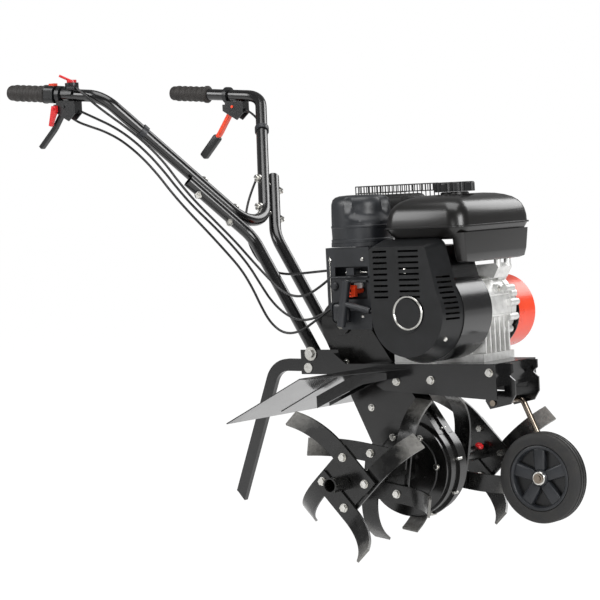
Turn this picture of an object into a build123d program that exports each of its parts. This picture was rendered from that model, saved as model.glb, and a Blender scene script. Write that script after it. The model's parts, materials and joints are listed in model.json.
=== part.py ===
from build123d import *
import math
import os

# Petrol tiller with front tines. It is set out in millimetres from the centre of the tine shaft:
# X forward, Y to the machine's left, Z up. At the end everything moves to the floor frame,
# whose origin lies under the middle of the machine, with the tine tips on Z = 0.

# ---- driving dimensions -------------------------------------------------------------------
SHAFT_R = 11.95            # output shaft of the chain case
HUB_BORE_R = 12.0          # bore of the hub tubes that slide on the shaft
HUB_R = 15.0
HUB_INNER_Y = 47.0         # hub tube, from beside the chain case ...
HUB_OUTER_Y = 312.0        # ... to its open end
HUB_SOCKET_R = 12.2        # wider socket outside the shaft's end, for hub extensions
SHAFT_END_Y = 150.0
STAR_Y = (115.0, 257.0)    # middle planes of the inner and outer star plates
PLATE_SIDE = 92.0
PLATE_T = 5.0
BOLT_RING_R = 49.0         # blade bolts about the shaft
BLADE_T = 5.0
BLADE_W = 36.0
BLADE_ROOT = 14.0          # bar behind its first bolt
BLADE_STRAIGHT = 88.0      # flat length past the first bolt
BLADE_BEND_R = 100.0
BLADE_BEND = 58.0          # degrees that the blade turns sideways
BLADE_TAIL = 15.0
OUTER_TURN = 313.5         # way that the lowest outer blade points, degrees

CRANK_X, CRANK_Z = 118.0, 316.0      # crankshaft axis
INPUT_X, INPUT_Z = -147.0, 290.0     # chain case input axis
BED_Z = 213.0                        # top of the engine bed
BED_HALF = 78.0                      # outer faces of the bed's side plates
PLATE = 3.0

WHEEL_X, WHEEL_Z, WHEEL_R = 290.0, -15.0, 89.0
WHEEL_HALF = 19.0
ARM_PIVOT = (214.0, 134.0)           # transport wheel arm pivot, X and Z
ARM_Y = 33.0
ARM_ROD_R = 6.0

TUBE_R, TUBE_WALL = 12.5, 1.8
LOWER_Y = 40.0
PIVOT = (-206.0, 232.0)              # big bolt at the foot of the lower tubes, X and Z
LOWER_BEND = (-350.0, LOWER_Y, 472.0)
GRIP_Y = 275.0
GRIP_END_X, GRIP_END_Z = -782.0, 797.4
UPPER_BEND = (-540.0, GRIP_Y, 776.0)
UPPER_LOW = (-347.0, 0.0, 465.0)     # where the two slanting sides of the upper tube would meet
GRIP_R = 16.0
CABLE_R = 2.5

CHAIN_OUT_R, CHAIN_IN_R = 53.0, 17.0
BELT_IN_R, BELT_OUT_R = 62.0, 32.0   # driven pulley and engine pulley
BELT_Y = (120.0, 138.0)


# ---- small helpers ------------------------------------------------------------------------
def block(x0, x1, y0, y1, z0, z1):
    """Box between two corners."""
    return Pos((x0 + x1) / 2, (y0 + y1) / 2, (z0 + z1) / 2) * Box(abs(x1 - x0), abs(y1 - y0), abs(z1 - z0))


def rod_y(x, z, y0, y1, r):
    """Round bar along Y."""
    return Pos(x, (y0 + y1) / 2, z) * Rot(90, 0, 0) * Cylinder(r, abs(y1 - y0))


def rod_z(x, y, z0, z1, r):
    """Round bar along Z."""
    return Pos(x, y, (z0 + z1) / 2) * Cylinder(r, z1 - z0)


def rod_x(y, z, x0, x1, r):
    """Round bar along X."""
    return Pos((x0 + x1) / 2, y, z) * Rot(0, 90, 0) * Cylinder(r, x1 - x0)


def outline(*points):
    """Closed polygon, always drawn the same way round."""
    area = sum(a[0] * b[1] - b[0] * a[1] for a, b in zip(points, points[1:] + points[:1]))
    return Polygon(*(points if area > 0 else points[::-1]), align=None)


def prism_y(sketch, y0, y1):
    """Extrudes a sketch drawn in X and Z between two values of Y."""
    low, high = min(y0, y1), max(y0, y1)
    return extrude(Plane.XZ.offset(-high) * sketch, high - low, dir=(0, -1, 0))


def rod_between(a, b, r):
    """Round bar between two points."""
    start, end = Vector(*a), Vector(*b)
    way = end - start
    return extrude(Plane(origin=start, z_dir=way.normalized()) * Circle(r), way.length)


def bent(points, radii, profile):
    """Sweeps a profile along straight runs joined by tangent arcs."""
    path = FilletPolyline(*points, radius=radii)
    start = Plane(origin=path @ 0, z_dir=path % 0)
    return sweep(start * profile, path=path)


def tube(points, radii, r, wall):
    """Bent round tube, open at both ends."""
    return bent(points, radii, Circle(r)) - bent(points, radii, Circle(r - wall))


def mirrored(shape):
    """The same shape on the other side of the machine."""
    return mirror(shape, about=Plane.XZ)


def hexagon_bolt(x, z, y_face, side, r, shank):
    """Hexagon bolt along Y: head and washer outside y_face, shank inwards. side is -1 or 1."""
    washer = rod_y(x, z, y_face, y_face + side * 1.5, r * 2.1)
    head_at = Plane.XZ.offset(-(y_face + side * 1.5))
    head = extrude(head_at * Pos(x, z) * RegularPolygon(r * 1.75, 6), -side * r * 1.3)
    return washer + head + rod_y(x, z, y_face, y_face - side * shank, r)


def arm_way():
    """Unit vector up the right-hand slanting side of the upper tube."""
    low, bend = UPPER_LOW, UPPER_BEND
    way = Vector(bend[0] - low[0], -bend[1] - low[1], bend[2] - low[2])
    return way.normalized()


# ---- tines --------------------------------------------------------------------------------
def blade_reach():
    """Reach of a blade past its first bolt, seen along the shaft."""
    turn = math.radians(BLADE_BEND)
    bend = BLADE_BEND_R * math.sin(turn)
    return BLADE_STRAIGHT + bend + BLADE_TAIL * math.cos(turn) + BLADE_T / 2 * math.sin(turn)


def tip_corners():
    """Radius and lag angle of the two corners of a blade's tip about the shaft."""
    chord = BOLT_RING_R * math.cos(math.radians(45))
    along = blade_reach() - chord
    found = []
    for side in (-1, 1):
        across = chord + side * BLADE_W / 2
        found.append((math.hypot(along, across), math.degrees(math.atan2(across, along))))
    return found


def shaft_height():
    """Height of the shaft when the lowest outer blades stand on the floor."""
    return max(r * -math.sin(math.radians(OUTER_TURN - lag)) for r, lag in tip_corners())


def inner_turn():
    """Way of the lowest inner blade that puts its tip on the same floor, behind the shaft."""
    radius, lag = tip_corners()[0]
    return 180 + math.degrees(math.asin(shaft_height() / radius)) + lag


def blade(way, y, side):
    """One flat tine: a bar along two bolts whose end curves sideways."""
    turn = math.radians(way)
    along = Vector(math.cos(turn), 0, math.sin(turn))
    across = Vector(math.sin(turn), 0, -math.cos(turn))
    bolt = math.radians(way - 135)
    first = Vector(BOLT_RING_R * math.cos(bolt), y, BOLT_RING_R * math.sin(bolt))
    z_way = across if side < 0 else across * -1
    bar_plane = Plane(origin=first, x_dir=along, z_dir=z_way)
    bend = math.radians(BLADE_BEND)
    run_end = (BLADE_STRAIGHT, 0)
    arc_end = (BLADE_STRAIGHT + BLADE_BEND_R * math.sin(bend), BLADE_BEND_R * (1 - math.cos(bend)))
    tail_end = (arc_end[0] + BLADE_TAIL * math.cos(bend), arc_end[1] + BLADE_TAIL * math.sin(bend))
    root = Line((-BLADE_ROOT, 0), run_end)
    curve = TangentArc(run_end, arc_end, tangent=(1, 0))
    tail = Line(arc_end, tail_end)
    path = bar_plane * (root + curve + tail)
    start = Plane(origin=path @ 0, x_dir=z_way, z_dir=path % 0)
    return sweep(start * Rectangle(BLADE_W, BLADE_T), path=path)


def stars():
    """Every star as (middle plane Y, way of its first blade, side its even blades bend to)."""
    outer, inner = OUTER_TURN, inner_turn()
    near = [(-STAR_Y[1], outer, -1), (-STAR_Y[0], inner, 1)]
    far = [(STAR_Y[0], inner, -1), (STAR_Y[1], outer, -1)]
    return near + far


def tine_blades():
    """Four stars of four blades, alternately on the two faces of each plate."""
    made = []
    for y, first, even_side in stars():
        for k in range(4):
            side = even_side if k % 2 == 0 else -even_side
            made.append(blade(first + 90 * k, y + side * (PLATE_T + BLADE_T) / 2, side))
    return Compound(made)


def tine_hubs():
    """Hub tubes with their two square plates welded on and a cross hole at the open end."""
    made = []
    for side in (-1, 1):
        hub = rod_y(0, 0, side * HUB_INNER_Y, side * HUB_OUTER_Y, HUB_R)
        for y, first, _ in stars():
            if y * side > 0:
                plate = RectangleRounded(PLATE_SIDE, PLATE_SIDE, 12)
                hub += prism_y(Rot(0, 0, first) * plate, y - PLATE_T / 2, y + PLATE_T / 2)
        hub -= rod_y(0, 0, side * (HUB_INNER_Y - 1), side * (HUB_OUTER_Y + 1), HUB_BORE_R)
        hub -= rod_y(0, 0, side * (SHAFT_END_Y + 2), side * (HUB_OUTER_Y + 1), HUB_SOCKET_R)
        hub -= rod_z(0, side * (HUB_OUTER_Y - 14), -30, 30, 4.2)
        made.append(hub)
    return Compound(made)


def tine_bolts():
    """Blade bolts with nuts, and the two pins that hold the hubs on the shaft."""
    made = []
    half = PLATE_T / 2 + BLADE_T
    for y, first, _ in stars():
        for k in range(4):
            turn = math.radians(first - 135 + 90 * k)
            x, z = BOLT_RING_R * math.cos(turn), BOLT_RING_R * math.sin(turn)
            side = -1 if y < 0 else 1
            bolt = hexagon_bolt(x, z, y + side * half, side, 4, 2 * half)
            nut_at = Plane.XZ.offset(-(y - side * half))
            bolt += extrude(nut_at * Pos(x, z) * RegularPolygon(7, 6), side * 6.5)
            made.append(bolt)
    for side in (-1, 1):
        y = side * 70
        made.append(rod_z(0, y, -19, 19, 4) + rod_z(0, y, 19, 24, 6.5) + rod_z(0, y, -22, -19, 5.5))
    return Compound(made)


def tine_shaft():
    """Output shaft with its chain wheel."""
    shaft = rod_y(0, 0, -SHAFT_END_Y, SHAFT_END_Y, SHAFT_R) + rod_y(0, 0, -3, 3, CHAIN_OUT_R) + rod_y(0, 0, -10, 10, 20)
    for side in (-1, 1):
        shaft -= rod_z(0, side * 70, -30, 30, 4.05)
    return shaft


# ---- chain case ---------------------------------------------------------------------------
def case_outline(grow):
    """Outline of the chain case: a drum round the shaft and a neck up to the input shaft."""
    neck = outline((-195 - grow, 270), (-86 - grow, 46), (72 + grow, 68), (-107 + grow, 322))
    return Circle(98 + grow) + neck + Pos(INPUT_X, INPUT_Z) * Circle(50 + grow)


def chain_case_half(side):
    """One pressed half: drum, neck, joint flange and shaft bosses. side is -1 or 1."""
    def span(sketch, near, far):
        return prism_y(sketch, side * near, side * far)

    half = span(case_outline(0), 0, 27) + span(case_outline(5), 0, 2.5) + span(Circle(94), 0, 38)
    half += span(Circle(24), 38, 44) + span(Pos(INPUT_X, INPUT_Z) * Circle(22), 27, 33)
    half -= span(case_outline(-2), -1, 25) + span(Circle(92), -1, 36)
    half -= span(Circle(HUB_BORE_R), 30, 60) + span(Pos(INPUT_X, INPUT_Z) * Circle(10.05), 20, 60)
    return half


def drive_chain():
    """Roller chain as a plain closed band round both chain wheels."""
    def band(grow):
        big, small = CHAIN_OUT_R + grow, CHAIN_IN_R + grow
        return make_hull((Circle(big) + Pos(INPUT_X, INPUT_Z) * Circle(small)).edges())

    return prism_y(band(6.5), -4, 4) - prism_y(band(0.4), -5, 5)


def input_shaft():
    """Input shaft with its small chain wheel; it carries the driven pulley outside."""
    shaft = rod_y(INPUT_X, INPUT_Z, -32, 150, 10) + rod_y(INPUT_X, INPUT_Z, -3, 3, CHAIN_IN_R)
    return shaft + rod_y(INPUT_X, INPUT_Z, -9, 9, 14)


# ---- belt drive ---------------------------------------------------------------------------
def pulley(x, z, r, bore):
    """V pulley in the belt's plane."""
    y0, y1 = BELT_Y
    middle = (y0 + y1) / 2
    wheel = rod_y(x, z, y0, y1, r) + rod_y(x, z, y0 - 6, y0, bore + 6)
    groove = outline((r + 1, -7), (r + 1, 7), (r - 10, 4), (r - 10, -4))
    cut = revolve(Plane(origin=(x, middle, z), x_dir=(1, 0, 0), z_dir=(0, 0, 1)) * groove, Axis((x, middle, z), (0, 1, 0)))
    return wheel - cut - rod_y(x, z, y0 - 8, y1 + 1, bore)


def drive_belt():
    """Slack V belt as a closed band standing a little off both pulleys."""
    def loop(grow):
        rear = Pos(INPUT_X, INPUT_Z) * Circle(BELT_IN_R - 9 + grow)
        return make_hull((rear + Pos(CRANK_X, CRANK_Z) * Circle(BELT_OUT_R - 9 + grow)).edges())

    middle = sum(BELT_Y) / 2
    return prism_y(loop(8), middle - 4, middle + 4) - prism_y(loop(0), middle - 5, middle + 5)


IDLER_PIVOT = (20.0, 380.0)
IDLER_TIP = (-52.0, 385.0)


def idler_arm():
    """Tensioner: a flat link on a pivot bolt with a roller over the belt's upper run."""
    link = make_hull((Pos(*IDLER_PIVOT) * Circle(11) + Pos(*IDLER_TIP) * Circle(9)).edges())
    arm = prism_y(link, 109, 114) + rod_y(*IDLER_TIP, 114, 140, 6) + rod_y(*IDLER_TIP, 118, 140, 15)
    return arm - rod_y(*IDLER_PIVOT, 100, 120, 5.05)


def guard_outline(grow):
    """Round-ended outline of the belt guard, leaning with the two pulleys."""
    front, rear = Pos(CRANK_X, 302) * Circle(74 + grow), Pos(INPUT_X + 4, INPUT_Z + 4) * Circle(76 + grow)
    top = Pos(-45, 372) * Circle(36 + grow)
    return make_hull((front + rear + top).edges())


def belt_guard_back():
    """Black back plate of the belt guard, with holes for both shafts and a foot on the bed."""
    plate = prism_y(guard_outline(0), 104.5, 106.5)
    plate -= rod_y(CRANK_X, CRANK_Z, 100, 110, 30) + rod_y(INPUT_X, INPUT_Z, 100, 110, 26)
    return plate + block(-62, -30, 60, 104.5, BED_Z, BED_Z + 3) + block(-62, -30, 102, 104.5, BED_Z, 240)


def belt_guard_cover():
    """Orange moulded cover, a round-ended pan closed at its outer face."""
    return prism_y(guard_outline(0), 106.5, 170) - prism_y(guard_outline(-2.5), 106.4, 167.5)


# ---- frame --------------------------------------------------------------------------------
def frame_bed():
    """Folded engine bed: a top plate and two deep side plates that run back to the tubes."""
    side_shape = outline((-136, 190), (-136, 234), (-108, BED_Z), (232, BED_Z), (240, 205), (240, 142),
                         (-20, 160), (-64, 188))
    bed = block(-64, 236, -BED_HALF, BED_HALF, BED_Z - 4, BED_Z)
    bed -= block(-70, -24, -31, 31, 200, 220) + block(-70, -18, -5, 5, 200, 220)
    for side in (-1, 1):
        inner, outer = side * (BED_HALF - PLATE), side * BED_HALF
        bed += prism_y(side_shape, inner, outer)
        bed += block(-139, -136, side * 56, outer, 190, 234)
    bed += block(237, 240, -BED_HALF, BED_HALF, 168, BED_Z)
    return bed - rod_z(20, 0, BED_Z - 10, BED_Z + 5, 12)


def rear_bracket():
    """Two upright plates that hold the feet of the lower tubes and the drag bar."""
    shape = outline((-232, 190), (-232, 240), (-139, 240), (-139, 190))
    plates = []
    for side in (-1, 1):
        near, far = side * 53.5, side * 57
        plates.append(prism_y(shape, near, far))
    return Compound(plates)


def front_bracket():
    """Two notched plates on the bed's nose that carry the wheel arm."""
    shape = outline((240, 212), (262, 212), (262, 196), (252, 188), (264, 178), (264, 150), (252, 132),
                    (206, 122), (196, 138), (206, 158), (240, 158))
    made = []
    for side in (-1, 1):
        near, far = side * 44, side * 48
        plate = prism_y(shape, near, far)
        made.append(plate - rod_y(*ARM_PIVOT, -60, 60, ARM_ROD_R + 0.05))
    bridge = block(240, 243, -44, 44, 176, 212) - rod_x(-30, 194, 236, 247, 5.25) - rod_x(30, 194, 236, 247, 5.25)
    return made[0] + made[1] + bridge


def fender(side):
    """Right or left mud guard: a flat top and a ribbed flap that slopes down behind the tines."""
    inner, outer = 79.0, 300.0
    top = outline((-66, side * inner), (38, side * inner), (-52, side * outer), (-66, side * outer))
    sheet = extrude(Plane.XY.offset(202) * top, 2)
    sheet += prism_y(outline((-66, 202), (-66, 204), (-248, 115), (-247, 113)), side * inner, side * outer)
    sheet += prism_y(outline((-158, 157), (-158, 159), (-248, 115), (-247, 113)), side * 0.5, side * inner)
    for y in (136,):
        rib = outline((-90, 189), (-90, 194), (-230, 126), (-228, 121))
        sheet += prism_y(rib, side * y, side * (y + 4))
    return sheet


def fender_brackets():
    """Sloping pressed channels under the mud guards, bolted to the bed's side plates."""
    made = []
    for side in (-1, 1):
        shape = outline((-46, 200), (20, 200), (20, 186), (-40, 176), (-150, 128), (-150, 152))
        inside = outline((-48, 196), (14, 198), (14, 178), (-40, 160), (-160, 120), (-160, 142))
        hull = prism_y(shape, side * BED_HALF, side * 126) - prism_y(inside, side * 82, side * 123)
        made.append(hull)
    return Compound(made)


DRAG_PIVOT = (-214.0, 203.0)


def drag_bar():
    """Depth bar: flat bar that leaves the bracket level, turns down and ends in a point."""
    path = FilletPolyline((-198, 0, 203), (-334, 0, 205), (-446, 0, -84), radius=[46])
    bar = sweep(Plane(origin=path @ 0, x_dir=(0, 1, 0), z_dir=path % 0) * Rectangle(12, 25), path=path)
    bar -= prism_y(outline((-475, -40), (-446, -66), (-400, -120), (-500, -120)), -20, 20)
    return bar - rod_y(*DRAG_PIVOT, -10, 10, 5.05)


def wheel_arm():
    """Round rod: cross pin in the front bracket, a bend down past the wheel and its axle."""
    x, z = ARM_PIVOT
    pin = rod_y(x, z, -52, 52, ARM_ROD_R)
    run = [(x, ARM_Y, z), (x + 18, ARM_Y, z + 1), (WHEEL_X - 14, ARM_Y, 40), (WHEEL_X, ARM_Y, WHEEL_Z)]
    rod = bent(run, [14, 30], Circle(ARM_ROD_R))
    axle = rod_y(WHEEL_X, WHEEL_Z, -WHEEL_HALF - 5, ARM_Y + ARM_ROD_R, ARM_ROD_R)
    washer = rod_y(WHEEL_X, WHEEL_Z, -WHEEL_HALF - 3, -WHEEL_HALF - 0.5, 10)
    tail = rod_x(ARM_Y, z - 2, x - 62, x, ARM_ROD_R)
    return pin + rod + axle + washer + tail


def tyre():
    """Solid rubber tyre with three grooves."""
    ring = rod_y(WHEEL_X, WHEEL_Z, -WHEEL_HALF, WHEEL_HALF, WHEEL_R)
    ring = fillet(ring.edges(), 7) - rod_y(WHEEL_X, WHEEL_Z, -30, 30, 64)
    for y in (-9, 0, 9):
        cut = rod_y(WHEEL_X, WHEEL_Z, y - 1.2, y + 1.2, WHEEL_R + 2) - rod_y(WHEEL_X, WHEEL_Z, y - 2, y + 2, WHEEL_R - 3)
        ring -= cut
    return ring


def wheel_rim():
    """Moulded rim: band, thin web, five spokes and a hub with the axle bore."""
    band = rod_y(WHEEL_X, WHEEL_Z, -16, 16, 64) - rod_y(WHEEL_X, WHEEL_Z, -17, 17, 58)
    rim = band + rod_y(WHEEL_X, WHEEL_Z, -3, 3, 60) + rod_y(WHEEL_X, WHEEL_Z, -WHEEL_HALF, WHEEL_HALF, 15)
    for k in range(5):
        spoke = block(12, 60, -11, 11, -9, 9)
        rim += Pos(WHEEL_X, 0, WHEEL_Z) * Rot(0, 72 * k + 90, 0) * spoke
    return rim - rod_y(WHEEL_X, WHEEL_Z, -30, 30, ARM_ROD_R + 0.08)


# ---- handlebar ----------------------------------------------------------------------------
def lower_points(side):
    """Route of one lower tube from its foot to its top. side is -1 or 1."""
    way = arm_way()
    x, y, z = LOWER_BEND
    top = Vector(x, -y, z) + way * 182
    return [(-190, side * LOWER_Y, 205), (x, side * y, z), (top.X, -side * top.Y, top.Z)]


def lower_tubes():
    """Two parallel tubes from the rear bracket, spread at the top to meet the upper tube."""
    made = [tube(lower_points(side), [70], TUBE_R, TUBE_WALL) for side in (-1, 1)]
    hole = rod_y(*PIVOT, -60, 60, 5.2)
    return Compound([made[0] - hole, made[1] - hole])


def upper_handlebar():
    """One tube: grip, bend, down to a round bottom, and up to the other grip."""
    bend = UPPER_BEND
    right = [(GRIP_END_X, -GRIP_Y, GRIP_END_Z), (bend[0], -bend[1], bend[2])]
    left = [(bend[0], bend[1], bend[2]), (GRIP_END_X, GRIP_Y, GRIP_END_Z)]
    return tube(right + [UPPER_LOW] + left, [58, 75, 58], TUBE_R, TUBE_WALL)


def hand_grips():
    """Rubber grips: a sleeve with finger rings, closed at its end."""
    start = Vector(GRIP_END_X, GRIP_Y, GRIP_END_Z)
    way = (Vector(*UPPER_BEND) - start).normalized()
    made = []
    for side in (-1, 1):
        def at(s):
            spot = start + way * s
            return Plane(origin=(spot.X, side * spot.Y, spot.Z), z_dir=(way.X, side * way.Y, way.Z))

        grip = extrude(at(-3) * Circle(GRIP_R), 104)
        for k in range(5):
            grip += extrude(at(10 + 17 * k) * Circle(17.5), 8)
        grip += extrude(at(94) * Circle(19.5), 5)
        made.append(grip - extrude(at(0) * Circle(TUBE_R), 110))
    return Compound(made)


def arm_joint(side, s):
    """Middle of a handlebar joint at distance s up the lower tube's slant, and the bolt's way."""
    way = arm_way()
    x, y, z = LOWER_BEND
    lower = Vector(x, -y, z) + way * s
    low = Vector(*UPPER_LOW)
    upper = low + way * (lower - low).dot(way)
    across = upper - lower
    flip = -side
    return (Vector(lower.X, flip * lower.Y, lower.Z), Vector(across.X, flip * across.Y, across.Z).normalized(),
            across.length)


JOINT_AT = (62.0, 150.0)


def steel_fasteners():
    """Every bolt of the fixed frame: tube joints, pivot, bed, engine feet and chain case rim."""
    made = []
    for side in (-1, 1):
        for s in JOINT_AT:
            lower, way, gap = arm_joint(side, s)
            made.append(rod_between(lower - way * 24, lower + way * (gap + 24), 4))
            made.append(extrude(Plane(origin=lower - way * 20, z_dir=way) * RegularPolygon(8, 6), 6.6))
            made.append(extrude(Plane(origin=lower + way * (gap + 13), z_dir=way) * Circle(9), 5))
        made.append(hexagon_bolt(*PIVOT, side * 57, side, 5, 30) + rod_y(*PIVOT, side * 57, side * 60, 14))
        for x, z in ((-47, 217 - 22), (-26, 182), (12, 178), (92, 181), (226, 196)):
            if x > -20:
                made.append(hexagon_bolt(x, z, side * BED_HALF, side, 4, 6))
    for x in (-12, 171):
        for y in (-5, 70):
            made.append(rod_z(x, y, BED_Z - 14, BED_Z + 24, 4) + rod_z(x, y, BED_Z + 15, BED_Z + 22, 7.5))
    spur = hexagon_bolt(*DRAG_PIVOT, 57, 1, 5, 116) + rod_y(*DRAG_PIVOT, -59, -57, 10)
    made.append(spur + rod_y(*DRAG_PIVOT, 7, 53.5, 8) + rod_y(*DRAG_PIVOT, -53.5, -7, 8))
    made.append(rod_y(*IDLER_PIVOT, 102, 118, 5) + rod_y(*IDLER_PIVOT, 114.4, 119, 8.5))
    return Compound(made)


def case_rim_bolts():
    """Small bolts round the chain case flange."""
    made = []
    for degrees in (-150, -110, -70, -30, 10, 50):
        turn = math.radians(degrees)
        made.append(rod_y(101.5 * math.cos(turn), 101.5 * math.sin(turn), -8, 8, 3))
    return made


def cable_clips():
    """Plastic clips that hold the cables against the upper tube."""
    way = arm_way()
    bend = Vector(UPPER_BEND[0], -UPPER_BEND[1], UPPER_BEND[2])
    made = []
    for side in (-1, 1):
        spot = bend - way * 118
        plane = Plane(origin=(spot.X, -side * spot.Y, spot.Z), z_dir=(way.X, -side * way.Y, way.Z))
        made.append(extrude(plane * (Circle(15.5) - Circle(TUBE_R)), 12))
    return Compound(made)


def on_grip_bar(side, s):
    """Plane across the grip's straight tube, at distance s from its end. Z runs forwards."""
    start = Vector(GRIP_END_X, GRIP_Y, GRIP_END_Z)
    way = (Vector(*UPPER_BEND) - start).normalized()
    spot = start + way * s
    return Plane(origin=(spot.X, side * spot.Y, spot.Z), x_dir=(0, 1, 0), z_dir=(way.X, side * way.Y, way.Z))


CLUTCH_PIVOT = (-633.0, 760.0)       # pivots of the two hand levers, X and Z
REVERSE_PIVOT = (-611.0, 757.0)
CATCH_PIVOT = (-654.0, 757.0)


def lever_bracket(side, pivot, clamp_at):
    """Clamp ring on the tube and two cheeks that hold a hand lever."""
    x, z = pivot
    body = extrude(on_grip_bar(side, clamp_at) * Circle(18), 10)
    shape = outline((x - 27, z + 6), (x - 20, z + 6), (x - 20, z + 14), (x + 29, z + 10), (x + 29, z - 15),
                    (x + 11, z - 30), (x - 7, z - 20), (x - 27, z - 8))
    middle = side * GRIP_Y
    for y in (-12, 9):
        body += prism_y(shape, middle + y, middle + y + 3)
    body += block(x + 22, x + 29, middle - 12, middle + 12, z - 15, z + 10)
    body -= extrude(on_grip_bar(side, 82) * Circle(TUBE_R), 140)
    return body - rod_y(x, z, middle - 20, middle + 20, 3.05)


def clutch_bracket():
    """Right lever bracket, with a second hole for the safety catch."""
    return lever_bracket(-1, CLUTCH_PIVOT, 130) - rod_y(*CATCH_PIVOT, -290, -282, 2.55)


def hand_lever(side, pivot, length, drop):
    """Pressed hand lever with its pivot pin, hanging below the grip."""
    x, z = pivot
    y = side * GRIP_Y
    route = [(x + 8, y, z - 1), (x - 12, y, z - 11), (x - length * 0.5, y, z - drop * 0.56), (x - length, y, z - drop)]
    path = FilletPolyline(*route, radius=[10, 60])
    start = Plane(origin=path @ 0, x_dir=(0, 1, 0), z_dir=path % 0)
    bar = sweep(start * RectangleRounded(15, 9, 3), path=path)
    return bar + rod_y(x, z, y - 14, y + 14, 3)


def clutch_lever():
    """Right-hand lever that tightens the drive belt."""
    return hand_lever(-1, CLUTCH_PIVOT, 74, 80)


def reverse_lever():
    """Left-hand lever for reverse."""
    return hand_lever(1, REVERSE_PIVOT, 92, 104)


def safety_catch():
    """Small red catch that has to be pressed before the clutch lever moves."""
    x, z = CATCH_PIVOT
    y = -GRIP_Y
    shape = outline((x - 5, z + 6), (x + 6, z + 6), (x + 6, z - 6), (x - 9, z - 36), (x - 15, z - 34))
    return prism_y(shape, y - 20, y - 13) + rod_y(x, z, y - 23, y - 8.7, 2.5)


def throttle_housing():
    """Throttle body on top of the right tube: a saddle and a round tower, with a cable nose."""
    saddle = extrude(on_grip_bar(-1, 146) * Circle(17), 28) - block(-660, -580, -300, -250, 700, 784)
    nose = rod_between((-616, -GRIP_Y - 14, 798), (-592, -GRIP_Y - 18, 796), 5)
    body = saddle + rod_z(-618, -GRIP_Y, 790, 808, 14) + nose
    return body - extrude(on_grip_bar(-1, 132) * Circle(TUBE_R), 60)


def throttle_lever():
    """Throttle thumb lever turning on top of its body."""
    lever = rod_z(-618, -GRIP_Y, 808.4, 814, 10)
    return lever + rod_between((-618, -GRIP_Y, 811.5), (-640, -GRIP_Y - 12, 824), 2.6)


def switch_housing():
    """Stop switch body clamped on the right tube, beside the grip."""
    body = extrude(on_grip_bar(-1, 102) * RectangleRounded(38, 36, 10), 24)
    spot = on_grip_bar(-1, 114).origin
    pocket = block(spot.X - 9, spot.X + 9, spot.Y - 6.5, spot.Y + 6.5, spot.Z + 14, spot.Z + 24)
    return body - extrude(on_grip_bar(-1, 95) * Circle(TUBE_R), 50) - pocket


def switch_rocker():
    """Orange rocker of the stop switch."""
    spot = on_grip_bar(-1, 114).origin
    rocker = block(spot.X - 7, spot.X + 7, spot.Y - 6, spot.Y + 6, spot.Z + 16, spot.Z + 22.5)
    return rocker + rod_y(spot.X, spot.Z + 16.5, spot.Y - 6.4, spot.Y + 6.4, 1.2)


# ---- cables -------------------------------------------------------------------------------
CABLE_ROUTES = {
    "cable_throttle": [(-591, -293, 796), (-570, -298, 784), (-549, -290, 761), (-528, -268, 736), (-506, -243, 710),
                       (-478, -218, 676), (-452, -194, 636), (-437, -170, 596), (-413, -152, 556), (-378, -132, 512),
                       (-342, -114, 468), (-308, -106, 428), (-270, -104, 390), (-234, -108, 362), (-192, -114, 350),
                       (-148, -120, 360), (-106, -125, 386)],
    "cable_clutch": [(-604, -272, 750), (-573, -262, 734), (-541, -248, 716), (-512, -230, 692), (-482, -208, 656),
                     (-462, -184, 618), (-447, -162, 582), (-421, -144, 542), (-386, -124, 500), (-352, -106, 456),
                     (-324, -94, 416), (-304, -86, 378), (-281, -80, 340), (-246, -78, 311), (-206, -78, 300),
                     (-166, -76, 309), (-129, -70, 332)],
    "cable_switch": [(-668, -261, 769), (-652, -256, 746), (-626, -253, 728), (-594, -252, 717), (-560, -247, 705),
                     (-526, -234, 684), (-494, -215, 650), (-472, -192, 612), (-456, -170, 574), (-430, -152, 534),
                     (-398, -134, 492), (-364, -121, 450), (-334, -108, 410), (-312, -102, 370), (-294, -100, 332),
                     (-274, -98, 298), (-242, -98, 276), (-202, -98, 279), (-162, -98, 302), (-124, -96, 326)],
    "cable_reverse": [(-582, 272, 750), (-558, 268, 738), (-534, 256, 720), (-510, 240, 694), (-490, 218, 660),
                      (-486, 190, 618), (-490, 162, 578), (-488, 134, 540), (-476, 106, 502), (-450, 78, 462),
                      (-410, 46, 430), (-360, 12, 408), (-304, -22, 396), (-248, -50, 394), (-190, -70, 398),
                      (-128, -80, 402)],
}


def cable(name):
    """One outer cable, with every arc as large as its two runs allow."""
    points = [Vector(*p) for p in CABLE_ROUTES[name]]
    radii = []
    for before, here, after in zip(points, points[1:], points[2:]):
        run = min((here - before).length, (after - here).length)
        turn = math.radians((here - before).get_angle(after - here))
        radii.append(0.45 * run / math.tan(turn / 2))
    path = FilletPolyline(*points, radius=radii)
    start = Plane(origin=path @ 0, z_dir=path % 0)
    made = sweep(start * Circle(CABLE_R), path=path)
    ratio = made.volume / (math.pi * CABLE_R ** 2 * path.length)
    print(f"{name}: length {path.length:.0f}, smallest arc {min(radii):.0f}, volume ratio {ratio:.3f}")
    return made


# ---- engine -------------------------------------------------------------------------------
def shroud_outline(grow):
    """Round fan housing with an upright duct over the cylinder."""
    duct = outline((22 - grow, CRANK_Z), (22 - grow, 446 + grow), (170 + grow, 446 + grow), (204 + grow, CRANK_Z))
    return Pos(CRANK_X, CRANK_Z) * Circle(96 + grow) + duct


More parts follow.
